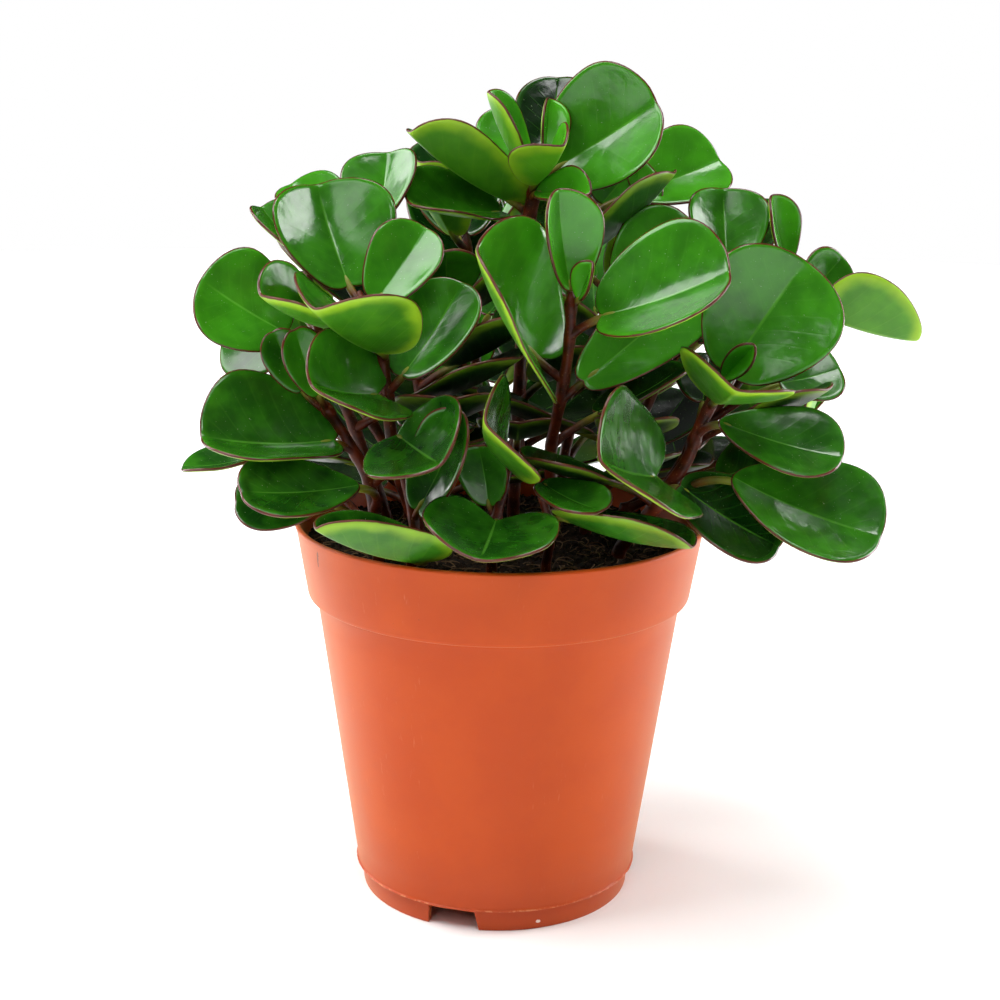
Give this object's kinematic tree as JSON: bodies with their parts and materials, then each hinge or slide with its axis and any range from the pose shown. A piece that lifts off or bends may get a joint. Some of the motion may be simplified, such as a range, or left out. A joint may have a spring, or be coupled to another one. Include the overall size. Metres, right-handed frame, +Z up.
{
  "type": "potted peperomia",
  "caption": "Bushy potted peperomia: round glossy dark green leaves on reddish stems, rooted in peat in a tapered plastic nursery pot with a rim band.",
  "frame": {"origin": "on the ground under the middle of the whole plant's footprint box; the pot's axis stands 14.4 mm to -X and 15.1 mm to -Y of it, because the plant leans to the right and back", "axes": "+Z up along the pot's axis, -Y towards the picture's viewer, +X to the viewer's right"},
  "size_m": [0.2152, 0.1836, 0.2437],
  "materials": {
    "pot_plastic": "smooth injection-moulded polypropylene with a soft sheen",
    "peat": "loose, dark and matte with short fibres",
    "leaf": "waxy and glossy above, matte yellow-green below, glossy red-brown stems"
  },
  "bodies": {
    "root": {"pot": "pot_plastic", "soil": "peat", "shoot_left": "leaf", "shoot_left_back": "leaf", "shoot_upper_left": "leaf", "shoot_top": "leaf", "shoot_centre": "leaf", "shoot_right": "leaf", "shoot_right_back": "leaf", "shoot_far_right": "leaf", "shoot_lower_left": "leaf", "shoot_front_left": "leaf", "shoot_front": "leaf", "shoot_front_right": "leaf", "shoot_back_left": "leaf", "shoot_back_middle": "leaf", "shoot_back_right": "leaf", "shoot_back_low": "leaf", "shoot_back_side": "leaf"}
  },
  "joints": []
}
